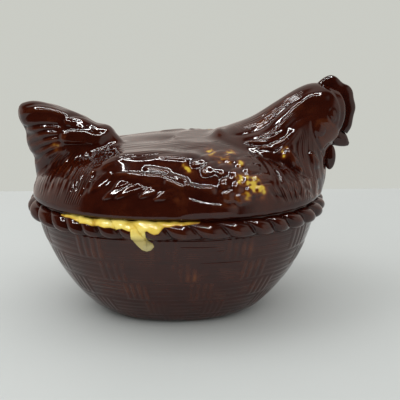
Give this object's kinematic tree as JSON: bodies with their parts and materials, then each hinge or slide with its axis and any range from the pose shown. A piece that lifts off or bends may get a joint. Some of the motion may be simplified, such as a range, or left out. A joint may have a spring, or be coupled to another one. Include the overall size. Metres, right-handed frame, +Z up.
{
  "type": "hen on nest dish",
  "caption": "Oval glazed pottery dish moulded as a basket with a rope rim, closed by a loose lid in the shape of a sitting hen.",
  "frame": {"origin": "on the surface that the dish stands on, under the middle of the whole object's bounding box", "axes": "+X the way the hen faces, +Z up, +Y towards the hen's left side"},
  "size_m": [0.1972, 0.14, 0.1375],
  "materials": {
    "brown_glaze": "thick glossy red-brown glaze, amber where it thins on raised edges",
    "yellow_glaze": "glossy straw-yellow glaze that has run"
  },
  "bodies": {
    "nest": {"nest_bowl": "brown_glaze", "rope_rim": "brown_glaze", "rim_glaze_run": "yellow_glaze"},
    "hen_lid": {"lid_shell": "brown_glaze", "locating_flange": "brown_glaze", "neck": "brown_glaze", "head": "brown_glaze", "comb": "brown_glaze", "beak": "brown_glaze", "wattle_right": "brown_glaze", "wattle_left": "brown_glaze", "tail_fan": "brown_glaze", "wing_right": "brown_glaze", "wing_left": "brown_glaze"}
  },
  "joints": [
    {"name": "lid_lift", "type": "slide", "parent": "nest", "child": "hen_lid", "axis": [0, 0, 1], "range_m": [0, 0.11]}
  ]
}
